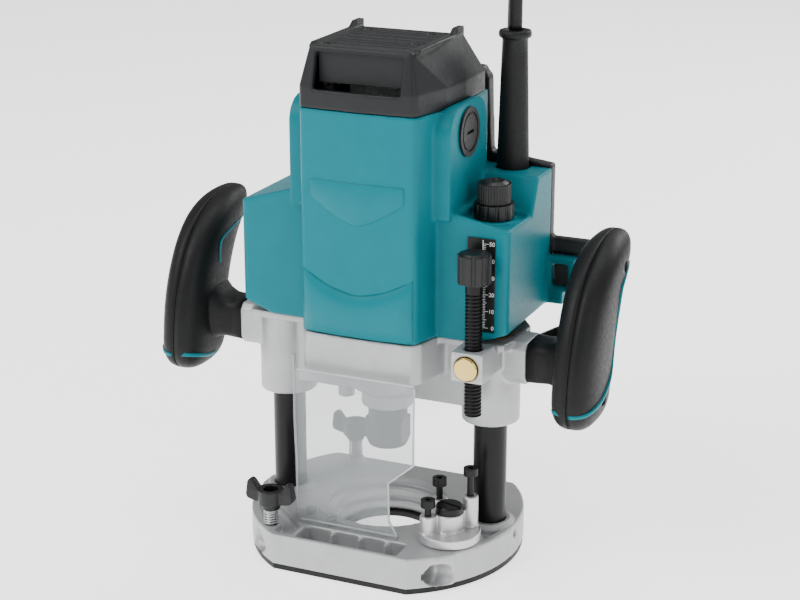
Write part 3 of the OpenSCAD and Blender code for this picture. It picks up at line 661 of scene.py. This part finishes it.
front_pad("housing_apron", 34.6, lambda x: 144.0, lambda x: 170.5 + 12.5 * (abs(x) / 34.6) ** 1.7, 2.6,
          9.0, "teal_plastic")
front_pad("housing_shield", 29.5, lambda x: 210 + 15 * (abs(x) / 29.5) ** 1.4, lambda x: 236.0, 0.6,
          1.5, "teal_plastic")
flat_bar("cover_inner_panel", -26.5, 26.5, 290.0, 308.4, -33.2, "motor", "dark_plastic", thick=1.4)
screws = frame["nodes"]["top_cover_screws"].data.copy()
piece("cover_screw_heads", screws, "motor", "black_steel", ["top_cover_screws"], smooth=False)


# ---- painted highlights: pale tubes along the polished edges of the clear deflector ----
DEFLECTOR_Y = -50
DEFLECTOR_EDGES = {
    "right": [(28, 25), (22.5, 35), (22.5, 59), (39, 72.5), (39, 121)],
    "top": [(39, 121), (0, 121), (-36, 121)],
    "foot": [(28, 25), (0, 25), (-36, 25)],
}
WING_EDGE = [(-43, -38.5, 25), (-44, -36.9, 58), (-47, -32, 66), (-50, -27, 78), (-50, -27, 121)]
EDGE_R = 0.7
EDGE_GAP = 1.5


# A pale tube along one edge of the deflector, a painted highlight.
def deflector_edge_highlight(word, places):
    path = evenly([mm(*p) for p in places], EDGE_GAP * MM)
    mesh = mesh_of("edge", swept(path, EDGE_R * MM, 6), tube_faces(len(path), 6))
    piece(f"deflector_edge_highlight_{word}", mesh, "base", "clear_edge_highlight")


for word, line in DEFLECTOR_EDGES.items():
    deflector_edge_highlight(word, [(x, DEFLECTOR_Y, z) for x, z in line])
deflector_edge_highlight("wing", WING_EDGE)


# ---- cord guard ----
guard_low, guard_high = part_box("cord_guard")
guard_x = (guard_low[0] + guard_high[0]) / 2 / MM
guard_y = (guard_low[1] + guard_high[1]) / 2 / MM


def guard_mesh():
    """The flexible guard, a tapering sleeve with a lip at the top."""
    profile = [(9.75, 226), (9.7, 232), (9.3, 244), (8.9, 258), (8.5, 272), (8.1, 286), (7.7, 300),
               (7.5, 307.6), (7.9, 308.6), (9.2, 309.2), (9.6, 310), (9.6, 312), (9.1, 313), (4.6, 313),
               (4.6, 300)]
    points = [mm(guard_x + r * cos(2 * pi * j / 32), guard_y + r * sin(2 * pi * j / 32), z)
              for r, z in profile for j in range(32)]
    return mesh_of("guard", points, tube_faces(len(profile), 32))


piece("cord_guard_sleeve", guard_mesh(), "motor", "rubber", ["cord_guard"])


# ---- studio ----
def studio():
    """A plain pale floor, a white surround and four soft lights."""
    floor_mesh = mesh_of("floor", [(-6, -6, 0), (6, -6, 0), (6, 6, 0), (-6, 6, 0)], [(0, 1, 2, 3)])
    floor = bpy.data.objects.new("floor", floor_mesh)
    bpy.context.collection.objects.link(floor)
    pale = bpy.data.materials.new("floor_pale")
    pale.use_nodes = True
    pale.node_tree.nodes["Principled BSDF"].inputs["Base Color"].default_value = (0.93, 0.93, 0.93, 1)
    pale.node_tree.nodes["Principled BSDF"].inputs["Roughness"].default_value = 0.85
    pale.node_tree.nodes["Principled BSDF"].inputs["Emission Color"].default_value = (1, 1, 1, 1)
    pale.node_tree.nodes["Principled BSDF"].inputs["Emission Strength"].default_value = 1.5
    floor_mesh.materials.append(pale)
    world = bpy.data.worlds.new("studio")
    bpy.context.scene.world = world
    world.use_nodes = True
    world.node_tree.nodes["Background"].inputs["Color"].default_value = (1, 1, 1, 1)
    world.node_tree.nodes["Background"].inputs["Strength"].default_value = 0.42
    for name, place, size, power in (("key", (-0.9, -1.1, 1.5), 1.1, 30), ("fill", (1.6, -0.8, 0.9), 1.2, 9),
                                     ("top", (0.1, 0.2, 1.9), 1.0, 14), ("rim", (0.6, 1.6, 1.1), 0.9, 16)):
        light = bpy.data.objects.new(name, bpy.data.lights.new(name, "AREA"))
        bpy.context.collection.objects.link(light)
        light.data.size = size
        light.data.energy = power
        light.location = place
        light.rotation_euler = (Vector((0, 0, 0.16)) - Vector(place)).to_track_quat("-Z", "Y").to_euler()


studio()
